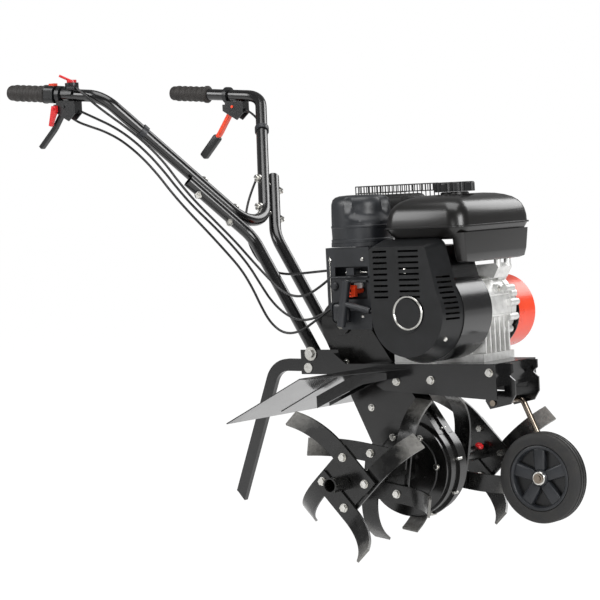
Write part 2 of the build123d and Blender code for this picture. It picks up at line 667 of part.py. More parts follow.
def crankcase():
    """Cast crankcase with mounting foot and finned cylinder leaning to the rear."""
    body = rod_y(CRANK_X, CRANK_Z, -32, 82, 70) + block(60, 156, -32, 82, BED_Z + 10, CRANK_Z)
    body += block(-18, 190, -35, 82, BED_Z, BED_Z + 15)
    lean = Plane(origin=(CRANK_X, 25, CRANK_Z), z_dir=(-math.cos(math.radians(25)), 0, math.sin(math.radians(25))))
    body += extrude(lean.offset(55) * Circle(41), 98)
    for k in range(7):
        body += extrude(lean.offset(72 + 11 * k) * RectangleRounded(112, 112, 14), 3)
    body -= rod_y(CRANK_X, CRANK_Z, -26, 83, 62) + extrude(lean.offset(40) * Circle(34), 112.9)
    body -= block(68, 148, -24, 74, BED_Z + 18, CRANK_Z - 40)
    body -= rod_y(CRANK_X, CRANK_Z, -40, 0, 12.05)
    for x in (-12, 171):
        for y in (-5, 70):
            body -= rod_z(x, y, BED_Z - 2, BED_Z + 16, 4.3)
    return body


def crankcase_cover():
    """Cast side cover with a bearing boss and bolt lugs."""
    cover = rod_y(CRANK_X, CRANK_Z, 82, 98, 72) + block(58, 158, 82, 98, BED_Z + 4, CRANK_Z)
    cover += rod_y(CRANK_X, CRANK_Z, 98, 104, 28)
    for degrees in (20, 65, 110, 155, 200):
        turn = math.radians(degrees)
        cover += rod_y(CRANK_X + 70 * math.cos(turn), CRANK_Z + 70 * math.sin(turn), 82, 102, 8)
    return cover - rod_y(CRANK_X, CRANK_Z, 80, 94, 58) - rod_y(CRANK_X, CRANK_Z, 80, 110, 12.05)


def cylinder_head():
    """Finned head and rocker cover at the end of the cylinder."""
    lean = Plane(origin=(CRANK_X, 25, CRANK_Z), z_dir=(-math.cos(math.radians(25)), 0, math.sin(math.radians(25))))
    head = extrude(lean.offset(153) * RectangleRounded(104, 104, 10), 26)
    for k in range(3):
        head += extrude(lean.offset(156 + 8 * k) * RectangleRounded(112, 112, 12), 3)
    return head + extrude(lean.offset(179) * RectangleRounded(72, 86, 12), 16)


def fan_shroud():
    """Sheet fan housing round the flywheel, open towards the starter."""
    shell = prism_y(shroud_outline(0), -140, -36) - prism_y(shroud_outline(-2), -141, -38)
    return shell - rod_y(CRANK_X, CRANK_Z, -40, -30, 62)


HANDLE_AT = Vector(-46, -158, 338)                  # middle of the starter grip
HANDLE_WAY = Vector(-0.970, 0, 0.243).normalized()   # the way it is pulled
ROPE = 160.0                                         # straight rope behind the handle


def cover_outline():
    """Starter cover seen from its side of the engine."""
    box = outline((24, CRANK_Z), (24, 462), (176, 462), (211, CRANK_Z))
    whole = Pos(CRANK_X, CRANK_Z) * Circle(94) + box
    corners = [v for v in whole.vertices() if v.Z > 400 or v.Y > 400]
    return fillet(corners, 22)


def recoil_cover():
    """Starter cover: upright front with a round bottom, vent slots and side louvres."""
    outer = extrude(Plane.XZ.offset(140.5) * cover_outline(), 54.5, taper=14)
    inner = extrude(Plane.XZ.offset(140.4) * offset(cover_outline(), -2.5), 52, taper=14)
    shell = outer - inner
    for row in range(9):
        z = 438 - 11 * row
        shell -= block(46, 78, -200, -188, z, z + 4) + block(104, 150, -200, -188, z, z + 4)
    for row in range(9):
        z = 386 - 10 * row
        shell -= block(180, 216, -186, -150, z, z + 4)
    shell -= rod_between(HANDLE_AT, HANDLE_AT - HANDLE_WAY * 110, 4)
    return shell + (rod_y(CRANK_X, CRANK_Z, -198, -192.5, 33) - rod_y(CRANK_X, CRANK_Z, -197, -190, 29))


def recoil_handle():
    """Starter T handle with its tapered stem and the rope behind it."""
    grip = rod_between(HANDLE_AT + Vector(4, 0, 46), HANDLE_AT + Vector(-14, 0, -44), 9)
    stem = rod_between(HANDLE_AT, HANDLE_AT - HANDLE_WAY * 58, 6)
    return grip + stem + rod_between(HANDLE_AT, HANDLE_AT - HANDLE_WAY * (58 + ROPE), 2.4)


def tank_shell(x0, x1, y0, y1, z0, z1, corner):
    """Block with rounded upright corners."""
    return fillet(block(x0, x1, y0, y1, z0, z1).edges().filter_by(Axis.Z), corner)


def fuel_tank():
    """Hollow pressed tank: domed top, seam flange and a base that is deeper at the front."""
    top = tank_shell(42, 218, -148, 118, 476, 536, 26)
    top = fillet(top.faces().sort_by(Axis.Z)[-1].edges(), 20)
    solid = top + tank_shell(46, 214, -138, 108, 456, 480, 20) + block(190, 214, -120, 90, 412, 470)
    solid += tank_shell(34, 224, -156, 126, 481, 483.5, 30) + rod_z(130, -18, 530, 547, 28)
    inner = tank_shell(44, 216, -146, 116, 479, 534, 24)
    inner = fillet(inner.faces().sort_by(Axis.Z)[-1].edges(), 18)
    inner += tank_shell(48, 212, -136, 106, 458, 479, 18) + block(192, 212, -118, 88, 414, 460)
    return solid - inner - rod_z(130, -18, 520, 550, 25)


def fuel_cap():
    """Scalloped filler cap."""
    cap = fillet(rod_z(130, -18, 548, 567, 40).edges().group_by(Axis.Z)[-1], 4)
    for k in range(10):
        turn = math.radians(36 * k)
        cap -= rod_z(130 + 43 * math.cos(turn), -18 + 43 * math.sin(turn), 540, 570, 7)
    return cap - rod_z(130, -18, 547, 560, 30)


def tank_bracket():
    """Cast arm with two posts under the front of the tank."""
    shape = outline((120, 388), (194, 375), (206, 396), (200, 404), (120, 399))
    arm = prism_y(shape, 8, 62)
    return arm + rod_z(200, 16, 396, 412, 7) + rod_z(200, 54, 396, 412, 7)


def air_cleaner_base():
    """Air cleaner tray and the elbow down to the carburettor."""
    tray = rod_z(-55, -75, 449, 457, 62)
    return tray - rod_z(-55, -75, 452, 458, 58) + rod_z(-45, -80, 404, 452, 20) - rod_z(-45, -80, 400, 460, 16)


def air_cleaner_cover():
    """Round air cleaner cover with a rounded top."""
    cover = rod_z(-55, -75, 457.2, 550, 61)
    cover = fillet(cover.edges().group_by(Axis.Z)[-1], 12)
    return cover - fillet(rod_z(-55, -75, 440, 546, 58).edges().group_by(Axis.Z)[-1], 10)


def carburettor():
    """Carburettor body with its float bowl."""
    body = block(-66, -20, -104, -64, 352, 403.5) + rod_z(-45, -84, 318, 352, 19)
    return body + rod_y(-45, 372, -114, -104, 10)


def control_panel():
    """Moulded panel over the carburettor, with two lever slots."""
    shell = block(-106, -4, -132, -110, 286, 448) - block(-103, -1, -129, -105, 280, 445)
    shell -= prism_y(outline((-110, 340), (-70, 280), (-110, 270)), -140, -100)
    shell -= block(-86, -8, -136, -125, 392, 410) + block(-60, -12, -136, -125, 346, 378)
    return shell


def choke_lever():
    """Choke lever: a flat slide through the upper slot."""
    return block(-46, -36, -140, -114, 396, 406) + block(-50, -32, -146, -138, 394, 408)


def fuel_valve():
    """Fuel valve lever on a short pivot in the lower slot."""
    return rod_y(-36, 362, -140, -114.5, 5) + block(-41, -31, -146, -138, 352, 374)


def muffler():
    """Silencer box and the perforated guard over it."""
    can = fillet(block(-100, 0, 6, 98, 456, 550).edges(), 8) - block(-96, -4, 10, 94, 460, 546)
    guard = block(-110, 12, -8, 112, 462, 566) - block(-108.5, 10.5, -6.5, 110.5, 461, 564.5)
    for i in range(7):
        for j in range(7):
            guard -= block(-102 + 16 * i, -92 + 16 * i, 2 + 15 * j, 11 + 15 * j, 560, 570)
    return Compound([can, guard])


def crankshaft():
    """Crankshaft with webs, tapered flywheel end and straight output end."""
    shaft = rod_y(CRANK_X, CRANK_Z, -122, 98, 12) + rod_y(CRANK_X, CRANK_Z, 98, 160, 9.5)
    for y in (10, 40):
        shaft += rod_y(CRANK_X, CRANK_Z, y, y + 10, 34)
    return shaft + rod_y(CRANK_X, CRANK_Z + 22, 20, 40, 12)


def flywheel():
    """Flywheel with its fan blades."""
    wheel = rod_y(CRANK_X, CRANK_Z, -92, -68, 74) - rod_y(CRANK_X, CRANK_Z, -93, -60, 12)
    for k in range(16):
        blade_shape = block(40, 76, -108, -92, -1.5, 1.5)
        wheel += Pos(CRANK_X, 0, CRANK_Z) * Rot(0, 22.5 * k, 0) * blade_shape
    return wheel


# ---- assembly -----------------------------------------------------------------------------
def build():
    """Every node by name, set out from the tine shaft."""
    nodes = {
        "frame_bed": frame_bed(), "front_bracket": front_bracket(), "rear_bracket": rear_bracket(),
        "fender_right": fender(-1), "fender_left": fender(1), "fender_brackets": fender_brackets(),
        "chain_case_right": chain_case_half(-1), "chain_case_left": chain_case_half(1),
        "drive_chain": drive_chain(), "belt_guard_back": belt_guard_back(), "belt_guard_cover": belt_guard_cover(),
        "drive_belt": drive_belt(), "lower_tubes": lower_tubes(), "upper_handlebar": upper_handlebar(),
        "hand_grips": hand_grips(), "cable_clips": cable_clips(),
        "steel_fasteners": Compound(list(steel_fasteners().solids()) + case_rim_bolts()),
        "clutch_bracket": clutch_bracket(), "reverse_bracket": lever_bracket(1, REVERSE_PIVOT, 148),
        "throttle_housing": throttle_housing(), "switch_housing": switch_housing(),
        "crankcase": crankcase(), "crankcase_cover": crankcase_cover(), "cylinder_head": cylinder_head(),
        "fan_shroud": fan_shroud(), "recoil_cover": recoil_cover(), "fuel_tank": fuel_tank(),
        "tank_bracket": tank_bracket(), "air_cleaner_base": air_cleaner_base(),
        "air_cleaner_cover": air_cleaner_cover(), "carburettor": carburettor(), "control_panel": control_panel(),
        "muffler": muffler(), "fuel_cap": fuel_cap(), "choke_lever": choke_lever(), "fuel_valve": fuel_valve(),
        "recoil_handle": recoil_handle(), "crankshaft": crankshaft(), "flywheel": flywheel(),
        "engine_pulley": pulley(CRANK_X, CRANK_Z, BELT_OUT_R, 9.5),
        "driven_pulley": pulley(INPUT_X, INPUT_Z, BELT_IN_R, 10), "input_shaft": input_shaft(),
        "idler_arm": idler_arm(), "tine_shaft": tine_shaft(), "tine_hubs": tine_hubs(),
        "tine_blades": tine_blades(), "tine_bolts": tine_bolts(), "drag_bar": drag_bar(),
        "wheel_arm": wheel_arm(), "tyre": tyre(), "wheel_rim": wheel_rim(), "clutch_lever": clutch_lever(),
        "safety_catch": safety_catch(), "reverse_lever": reverse_lever(), "throttle_lever": throttle_lever(),
        "switch_rocker": switch_rocker(),
    }
    for name in CABLE_ROUTES:
        nodes[name] = cable(name)
    return nodes


def floor_shift():
    """X and Z from the tine shaft's frame to the floor frame under the machine's middle."""
    way = (Vector(*UPPER_BEND) - Vector(GRIP_END_X, GRIP_Y, GRIP_END_Z)).normalized()
    rear = GRIP_END_X - 3 * way.X + GRIP_R * way.Z
    return -(WHEEL_X + WHEEL_R + rear) / 2, shaft_height()


def main():
    """Moves every node into the floor frame and writes one STEP file each."""
    os.makedirs("parts", exist_ok=True)
    x, z = floor_shift()
    shift = Pos(x, 0, z)
    print(f"shaft at X {x:.2f}, Z {z:.2f}")
    for name, shape in build().items():
        export_step(shift * shape, f"parts/{name}.step")


if __name__ == "__main__":
    main()
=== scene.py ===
"""A petrol tiller with front tines: finishes, detailed pieces, cables, camera and studio."""
import json
import logging
import math
from dataclasses import dataclass, field
from enum import Enum

import bmesh
import bpy
from mathutils import Matrix, Vector


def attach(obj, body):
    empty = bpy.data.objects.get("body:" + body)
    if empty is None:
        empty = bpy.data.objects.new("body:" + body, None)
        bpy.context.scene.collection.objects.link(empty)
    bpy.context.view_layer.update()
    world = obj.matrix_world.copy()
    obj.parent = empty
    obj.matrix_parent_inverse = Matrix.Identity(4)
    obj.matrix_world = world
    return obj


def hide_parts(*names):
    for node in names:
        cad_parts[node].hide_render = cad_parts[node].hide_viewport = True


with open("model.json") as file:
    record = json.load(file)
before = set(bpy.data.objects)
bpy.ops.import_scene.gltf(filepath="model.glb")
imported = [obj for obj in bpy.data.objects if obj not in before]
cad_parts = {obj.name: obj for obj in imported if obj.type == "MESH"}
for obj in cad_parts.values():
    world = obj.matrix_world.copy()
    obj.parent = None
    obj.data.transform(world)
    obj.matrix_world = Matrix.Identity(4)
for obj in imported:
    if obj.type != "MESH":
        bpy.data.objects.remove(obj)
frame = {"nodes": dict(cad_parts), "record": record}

LOG = logging.getLogger("tiller")
Point = tuple[float, float, float]
Pair = tuple[float, float]
Shape = bmesh.types.BMesh
Tree = bpy.types.NodeTree
Socket = bpy.types.NodeSocket
Material = bpy.types.Material


# ---- shared helpers ------------------------------------------------------------------------
def linear(colour: str, alpha: float = 1.0) -> tuple[float, float, float, float]:
    """Turns an sRGB hex colour into linear RGBA.

    Args:
        colour: six hex digits with or without a leading hash.
        alpha: opacity of the result.

    Returns:
        Linear red, green, blue and alpha.
    """
    digits = colour.lstrip("#")
    parts = [int(digits[i:i + 2], 16) / 255 for i in (0, 2, 4)]
    made = [c / 12.92 if c <= 0.04045 else ((c + 0.055) / 1.055) ** 2.4 for c in parts]
    return made[0], made[1], made[2], alpha


def add(tree: Tree, kind: str, links: dict | None = None, **settings: object) -> bpy.types.Node:
    """Adds one node with its settings and links.

    Args:
        tree: node tree that gets the node.
        kind: Blender's name of the node type.
        links: input name or number to an output socket or to a plain value.
        settings: attributes of the node.

    Returns:
        The new node.
    """
    node = tree.nodes.new(kind)
    for name, value in settings.items():
        setattr(node, name, value)
    for name, value in (links or {}).items():
        if isinstance(value, Socket):
            tree.links.new(value, node.inputs[name])
        else:
            node.inputs[name].default_value = value
    return node


def finish_mesh(name: str, bm: Shape, material: Material, smooth: float = 35.0) -> bpy.types.Object:
    """Turns a bmesh into a finished object at the origin.

    Args:
        name: name of the piece.
        bm: the shape, already in place; it is freed.
        material: its finish.
        smooth: angle in degrees under which edges are shaded round.

    Returns:
        The linked object.
    """
    bmesh.ops.remove_doubles(bm, verts=bm.verts, dist=1e-6)
    bmesh.ops.recalc_face_normals(bm, faces=bm.faces)
    for edge in bm.edges:
        edge.smooth = len(edge.link_faces) == 2 and edge.calc_face_angle(0.0) < math.radians(smooth)
    for face in bm.faces:
        face.smooth = True
    mesh = bpy.data.meshes.new(name)
    bm.to_mesh(mesh)
    bm.free()
    mesh.materials.append(material)
    made = bpy.data.objects.new(name, mesh)
    bpy.context.collection.objects.link(made)
    LOG.info("piece %s: %d faces", name, len(mesh.polygons))
    return made


def along(start: Vector, way: Vector) -> Matrix:
    """Matrix that carries the Z axis onto a direction.

    Args:
        start: where the local origin goes.
        way: direction of the local Z axis.

    Returns:
        The 4 by 4 placement.
    """
    return Matrix.Translation(start) @ way.to_track_quat("Z", "Y").to_matrix().to_4x4()


def lathe(profile: list[Pair], place: Matrix, steps: int = 64, closed: bool = False) -> Shape:
    """Spins a profile of (radius, height) about local Z.

    Args:
        profile: points from one end to the other, in metres.
        place: placement of the finished shape.
        steps: segments of the full turn.
        closed: True where the profile is a ring that never meets the axis.

    Returns:
        The closed shape.
    """
    bm = bmesh.new()
    verts = [bm.verts.new((r, 0.0, z)) for r, z in profile]
    ends = zip(verts, verts[1:] + (verts[:1] if closed else []))
    edges = [bm.edges.new(pair) for pair in ends]
    bmesh.ops.spin(bm, geom=verts + edges, cent=(0, 0, 0), axis=(0, 0, 1), angle=math.tau, steps=steps,
                   use_merge=True)
    bmesh.ops.remove_doubles(bm, verts=bm.verts, dist=1e-6)
    bmesh.ops.transform(bm, matrix=place, verts=bm.verts)
    return bm


def turned(profile: list[Pair], place: Matrix, steps: int = 64, closed: bool = False) -> Shape:
    """Spins a profile given in millimetres; the rest is as for lathe."""
    return lathe([(radius / 1000, height / 1000) for radius, height in profile], place, steps, closed)


def slab(low: Point, high: Point, round_by: float, place: Matrix | None = None, segments: int = 3) -> Shape:
    """A block between two corners with rounded edges.

    Args:
        low: lowest corner.
        high: highest corner.
        round_by: edge radius.
        place: placement applied at the end.
        segments: faces across each rounding.

    Returns:
        The shape.
    """
    bm = bmesh.new()
    bmesh.ops.create_cube(bm, size=1.0)
    size = Vector(high) - Vector(low)
    bmesh.ops.scale(bm, vec=size, verts=bm.verts)
    bmesh.ops.translate(bm, vec=(Vector(high) + Vector(low)) / 2, verts=bm.verts)
    bmesh.ops.bevel(bm, geom=bm.edges[:], offset=round_by, segments=segments, profile=0.5, affect="EDGES",
                    material=-1)
    if place is not None:
        bmesh.ops.transform(bm, matrix=place, verts=bm.verts)
    return bm


def joined(parts: list[Shape]) -> Shape:
    """Gathers several shapes into one, and frees them.

    Args:
        parts: the shapes.

    Returns:
        One bmesh with them all.
    """
    whole = bmesh.new()
    for bm in parts:
        spare = bpy.data.meshes.new("spare")
        bm.to_mesh(spare)
        bm.free()
        whole.from_mesh(spare)
        bpy.data.meshes.remove(spare)
    return whole


# ---- finishes ------------------------------------------------------------------------------
SMOOTH_BUMP = 0.01     # a finish with no more bump than this stays free of dents
COAT_ROUGHNESS = 0.16  # clear coats are slightly hazy


@dataclass(frozen=True)
class Finish:
    """A surface: base colour, a second colour in soft patches, grain and small dents."""

    name: str
    colour: str
    patch: str
    rough: float
    metallic: float = 0.0
    patch_mm: float = 60.0
    grain_mm: float = 0.8
    bump: float = 0.05
    rough_spread: float = 0.12
    coat: float = 0.0
    dust: float = 0.0
    dust_colour: str = "#8d8779"

    def build(self) -> Material:
        """Makes the material.

        Returns:
            The node material.
        """
        material = bpy.data.materials.new(self.name)
        material.use_nodes = True
        tree = material.node_tree
        shader = tree.nodes["Principled BSDF"]
        shader.inputs["Metallic"].default_value = self.metallic
        shader.inputs["Coat Weight"].default_value = self.coat
        shader.inputs["Coat Roughness"].default_value = COAT_ROUGHNESS
        place = add(tree, "ShaderNodeTexCoord").outputs["Object"]
        patches = add(tree, "ShaderNodeTexNoise", {
            "Vector": place, "Scale": 1000 / self.patch_mm, "Detail": 5.0, "Roughness": 0.6})
        grain = add(tree, "ShaderNodeTexNoise", {
            "Vector": place, "Scale": 1000 / self.grain_mm, "Detail": 2.0})
        ramp = add(tree, "ShaderNodeMapRange", {
            "Value": patches.outputs["Fac"], "From Min": 0.35, "From Max": 0.68})
        tint = add(tree, "ShaderNodeMix", {
            0: ramp.outputs[0], 6: linear(self.colour), 7: linear(self.patch)}, data_type="RGBA")
        colour = self.surface(tree, place, tint.outputs[2])
        if self.dust > 0:
            up = add(tree, "ShaderNodeNewGeometry").outputs["Normal"]
            height = add(tree, "ShaderNodeSeparateXYZ", {0: up}).outputs[2]
            lying = add(tree, "ShaderNodeMapRange", {
                "Value": height, "From Min": 0.4, "From Max": 1.0, "To Max": self.dust})
            fine = add(tree, "ShaderNodeMath", {
                0: lying.outputs[0], 1: grain.outputs["Fac"]}, operation="MULTIPLY")
            mixed = add(tree, "ShaderNodeMix", {
                0: fine.outputs[0], 6: colour, 7: linear(self.dust_colour)}, data_type="RGBA")
            colour = mixed.outputs[2]
        tree.links.new(colour, shader.inputs["Base Color"])
        rough = add(tree, "ShaderNodeMapRange", {
            "Value": patches.outputs["Fac"], "From Min": 0.3, "From Max": 0.7,
            "To Min": max(self.rough - self.rough_spread / 2, 0.03),
            "To Max": self.rough + self.rough_spread / 2})
        tree.links.new(rough.outputs[0], shader.inputs["Roughness"])
        if self.bump <= SMOOTH_BUMP:
            return material
        dents = add(tree, "ShaderNodeBump", {
            "Strength": min(self.bump * 6, 1.0), "Distance": min(self.grain_mm, 1.0) * 0.0002,
            "Height": grain.outputs["Fac"]})
        tree.links.new(dents.outputs[0], shader.inputs["Normal"])
        return material

    def surface(self, tree: Tree, place: Socket, colour: Socket) -> Socket:
        """Lets a kind of finish change the colour; the plain one leaves it."""
        return colour


@dataclass(frozen=True)
class WornPaintAndSheen(Finish):
    """Black paint ground off towards the blade tips, where bright steel shows; the light grey there is also a
    painted highlight.
    """

    shaft: tuple[float, float] = (0.2037, 0.14376)
    # light grey of bare steel, which also serves as a painted highlight on the tips
    bare: str = "#a9a7a2"

    def surface(self, tree: Tree, place: Socket, colour: Socket) -> Socket:
        """Mixes in light bare steel, partly wear and partly a painted highlight, by the distance from the
        shaft.

        Args:
            tree: the material's nodes.
            place: object coordinates.
            colour: the paint's colour.

        Returns:
            The worn colour.
        """
        parts = add(tree, "ShaderNodeSeparateXYZ", {0: place})
        x = add(tree, "ShaderNodeMath", {0: parts.outputs[0], 1: self.shaft[0]}, operation="SUBTRACT")
        z = add(tree, "ShaderNodeMath", {0: parts.outputs[2], 1: self.shaft[1]}, operation="SUBTRACT")
        flat = add(tree, "ShaderNodeCombineXYZ", {0: x.outputs[0], 2: z.outputs[0]})
        radius = add(tree, "ShaderNodeVectorMath", {0: flat.outputs[0]}, operation="LENGTH")
        ragged_noise = add(tree, "ShaderNodeTexNoise", {"Vector": place, "Scale": 90.0, "Detail": 6.0})
        edge = add(tree, "ShaderNodeMath", {
            0: ragged_noise.outputs["Fac"], 1: 0.03, 2: radius.outputs["Value"]}, operation="MULTIPLY_ADD")
        # bare steel towards the tips: partly wear, partly a painted highlight
        wear_and_sheen = add(tree, "ShaderNodeMapRange", {
            "Value": edge.outputs[0], "From Min": 0.132, "From Max": 0.19, "To Max": 0.75})
        mixed = add(tree, "ShaderNodeMix", {
            0: wear_and_sheen.outputs[0], 6: colour, 7: linear(self.bare)}, data_type="RGBA")
        return mixed.outputs[2]


class Slot(Enum):
    """The record's material slots, each with its finish."""

    # Powder coat on steel: deep gloss black, a little uneven in sheen.
    powder_coat_black = Finish(
        "powder_coat_black_gloss", "#060607", "#0b0b0c", 0.2, 0.0, 90, 6.0, 0.01, 0.08, 0.5)
    # Sprayed chassis paint on pressed steel: a little duller than powder coat.
    chain_case_black = Finish(
        "sprayed_paint_semi_gloss", "#080808", "#100f0e", 0.24, 0.0, 70, 4.0, 0.01, 0.12, 0.4)
    # Glass-filled nylon, moulded with a fine spark-eroded grain: soft wide highlights.
    black_plastic = Finish("moulded_nylon_black", "#0c0d0e", "#121315", 0.33, 0.0, 45, 0.9, 0.04, 0.08)
    # Grey moulded polypropylene: satin with a fine grain.
    grey_plastic = Finish("moulded_polypropylene_grey", "#1d1f22", "#26282c", 0.38, 0.0, 50, 0.9, 0.05, 0.08)
    # Orange ABS with a smooth moulded skin.
    orange_plastic = Finish("moulded_abs_orange", "#e8401c", "#f04a22", 0.3, 0.0, 60, 1.0, 0.03, 0.08, 0.2)
    # Red ABS lever caps.
    red_plastic = Finish("moulded_abs_red", "#c81d22", "#d62a2c", 0.3, 0.0, 40, 1.0, 0.03, 0.08, 0.2)
    # Soft moulded rubber: matt, slightly brown.
    grip_rubber = Finish("moulded_rubber_grip", "#26221f", "#1e1b19", 0.6, 0.0, 25, 0.7, 0.1, 0.1)
    # Extruded PVC cable sleeve: satin black.
    cable_sleeve = Finish("pvc_cable_sleeve", "#0b0b0c", "#121213", 0.34, 0.0, 30, 5.0, 0.005, 0.1)
    # Pressure die-cast aluminium: bright, grainy, cloudy.
    cast_alloy = Finish("die_cast_aluminium", "#e6e6e4", "#cdcdcb", 0.4, 0.55, 14, 0.9, 0.1, 0.16)
    # Zinc-plated steel fasteners: pale with a faint yellow bloom.
    zinc = Finish("zinc_plated_steel", "#e4e3df", "#cfcdc6", 0.24, 1.0, 10, 0.6, 0.02, 0.14)
    # Painted tine steel, scuffed, bright towards the tips where soil would polish it, and there also a
    # painted highlight in place of the steel's sheen.
    tine_steel = WornPaintAndSheen("painted_tine_steel", "#0a0a0a", "#161615", 0.27, 0.1, 24, 3.0, 0.01, 0.2, 0.3)
    # Ground bearing steel.
    bare_steel = Finish("ground_steel", "#9a9893", "#87857f", 0.28, 1.0, 12, 0.5, 0.04, 0.12)
    # Stove enamel on the pressed tank: smooth warm black.
    tank_black = Finish("stove_enamel_black", "#080706", "#0d0b0a", 0.3, 0.0, 110, 12.0, 0.003, 0.05, 0.25)
    # Heat-proof silencer paint: matt and dusty.
    muffler_black = Finish("heat_proof_paint", "#0e0e0e", "#181715", 0.55, 0.0, 20, 0.7, 0.06, 0.14)
    # Machined cast iron.
    flywheel_iron = Finish("machined_cast_iron", "#6a6864", "#5b5956", 0.42, 1.0, 16, 0.7, 0.12, 0.14)
    # Moulded belt rubber with a fabric face.
    belt_rubber = Finish("belt_rubber", "#1b1a19", "#242322", 0.7, 0.0, 12, 0.6, 0.15, 0.1)
    # Solid tyre rubber: dull grey-brown with bloom.
    tyre_rubber = Finish("solid_tyre_rubber", "#1c1c1d", "#262523", 0.55, 0.0, 22, 0.8, 0.08, 0.12, 0.0, 0.05)
    # Bright drawn rod: chrome with a warm tone.
    rod_chrome = Finish("bright_drawn_rod", "#8d8378", "#776d62", 0.16, 1.0, 30, 5.0, 0.01, 0.1)


class Palette:
    """Builds each slot's material once and dresses the CAD nodes."""

    def __init__(self) -> None:
        """Starts with no materials."""
        self.made: dict[str, Material] = {}

    def get(self, slot: Slot) -> Material:
        """The slot's material, built on first use."""
        if slot.name not in self.made:
            self.made[slot.name] = slot.value.build()
        return self.made[slot.name]

    def dress(self) -> None:
        """Gives every CAD node the finish of its slot."""
        for entry in frame["record"]["subparts"]:
            node = frame["nodes"][entry["node"]]
            material = self.get(Slot[entry["material_slot"]])
            for place in node.material_slots:
                place.material = material
            LOG.info("dressed %s with %s", entry["node"], material.name)


# ---- sub-assemblies ------------------------------------------------------------------------
@dataclass
class Machine:
    """Main axes of the machine in the floor frame, in metres."""

    shift_x: float = 0.2037
    shift_z: float = 0.14376

    def at(self, x: float, y: float, z: float) -> Vector:
        """A point given in millimetres from the tine shaft's centre."""
        return Vector((x / 1000 + self.shift_x, y / 1000, z / 1000 + self.shift_z))


@dataclass
class Cables(Machine):
    """The four outer cables, each a smooth line; the routes are in millimetres from the tine shaft."""

    radius: float = 0.0025
    throttle: tuple[Point, ...] = (
        (-591, -293, 796), (-570, -298, 784), (-549, -290, 761), (-528, -268, 736), (-506, -243, 710),
        (-478, -218, 676), (-452, -194, 636), (-437, -170, 596), (-413, -152, 556), (-378, -132, 512),
        (-342, -114, 468), (-308, -106, 428), (-270, -104, 390), (-234, -108, 362), (-192, -114, 350),
        (-148, -120, 360), (-106, -125, 386),
    )
    clutch: tuple[Point, ...] = (
        (-604, -272, 750), (-573, -262, 734), (-541, -248, 716), (-512, -230, 692), (-482, -208, 656),
        (-462, -184, 618), (-447, -162, 582), (-421, -144, 542), (-386, -124, 500), (-352, -106, 456),
        (-324, -94, 416), (-304, -86, 378), (-281, -80, 340), (-246, -78, 311), (-206, -78, 300),
        (-166, -76, 309), (-129, -70, 332),
    )
    stop_lead: tuple[Point, ...] = (
        (-668, -261, 769), (-652, -256, 746), (-626, -253, 728), (-594, -252, 717), (-560, -247, 705),
        (-526, -234, 684), (-494, -215, 650), (-472, -192, 612), (-456, -170, 574), (-430, -152, 534),
        (-398, -134, 492), (-364, -121, 450), (-334, -108, 410), (-312, -102, 370), (-294, -100, 332),
        (-274, -98, 298), (-242, -98, 276), (-202, -98, 279), (-162, -98, 302), (-124, -96, 326),
    )
    reverse: tuple[Point, ...] = (
        (-582, 272, 750), (-558, 268, 738), (-534, 256, 720), (-510, 240, 694), (-490, 218, 660),
        (-486, 190, 618), (-490, 162, 578), (-488, 134, 540), (-476, 106, 502), (-450, 78, 462),
        (-410, 46, 430), (-360, 12, 408), (-304, -22, 396), (-248, -50, 394), (-190, -70, 398),
        (-128, -80, 402),
    )

    def one(self, name: str, node: str, route: tuple[Point, ...], length: float, material: Material) -> None:
        """Makes one cable as a smooth curve.

        Args:
            name: name of the piece.
            node: CAD node it stands for.
            route: control points in millimetres from the shaft.
            length: real length in metres; not used.
            material: its finish.
        """
        curve = bpy.data.curves.new(name, "CURVE")
        curve.dimensions = "3D"
        spline = curve.splines.new("NURBS")
        spline.points.add(len(route) - 1)
        places = [tuple(round(value, 4) for value in self.at(*spot)) for spot in route]
        for point, place in zip(spline.points, places):
            point.co = (*place, 1.0)
        spline.order_u = 3
        spline.use_endpoint_u = True
        spline.resolution_u = 12
        curve.bevel_depth = self.radius
        curve.bevel_resolution = 5
        curve.use_fill_caps = True
        curve.materials.append(material)
        made = bpy.data.objects.new(name, curve)
        bpy.context.collection.objects.link(made)
        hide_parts(node)
        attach(made, "frame")
        LOG.info("cable %s", name)

    def build(self, palette: Palette) -> None:
        """Makes all four cables."""
        sleeve = palette.get(Slot.cable_sleeve)
        self.one("outer_cable_throttle", "cable_throttle", self.throttle, 0.745, sleeve)
        self.one("outer_cable_clutch", "cable_clutch", self.clutch, 0.735, sleeve)
        self.one("outer_cable_stop", "cable_switch", self.stop_lead, 0.832, sleeve)
        self.one("outer_cable_reverse", "cable_reverse", self.reverse, 0.765, sleeve)


@dataclass
class HandGrips(Machine):
    """Moulded rubber sleeves with a domed end, finger waves and a thumb collar."""

    length: float = 101.0
    radius: float = 16.0
    bore: float = 12.5
    waves: int = 5
    wave_depth: float = 0.75

    def profile(self) -> list[Pair]:
        """Outline from the closed end to the collar and back through the bore.

        Returns:
            Radius and height pairs in metres.
        """
        points = [(0.0, -3.0), (self.radius - 5, -3.0), (self.radius - 1.6, -1.8), (self.radius - 0.2, 1.0)]
        for k in range(self.waves * 8 + 1):
            turn = k / 8
            swell = self.wave_depth * (1.0 - math.cos(math.tau * turn))
            points.append((self.radius + swell, 8.0 + 80.0 * turn / self.waves))
        inside, end = self.bore + 0.1, self.length
        points += [(self.radius + 0.4, end - 10.0), (19.3, end - 8.0), (19.4, end - 4.0), (17.5, end - 2.0)]
        points += [(14.5, end - 0.2), (inside, end), (inside, 0.2), (0.0, 0.2)]
        return [(r / 1000, z / 1000) for r, z in points]

    def build(self, palette: Palette) -> None:
        """Makes both grips and replaces the plain ones."""
        shapes = []
        for side in (-1, 1):
            start, bend = self.at(-782, side * 275, 797.4), self.at(-540, side * 275, 776)
            shapes.append(lathe(self.profile(), along(start, (bend - start).normalized()), 48))
        made = finish_mesh("rubber_grips", joined(shapes), palette.get(Slot.grip_rubber), 50)
        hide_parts("hand_grips")
        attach(made, "frame")


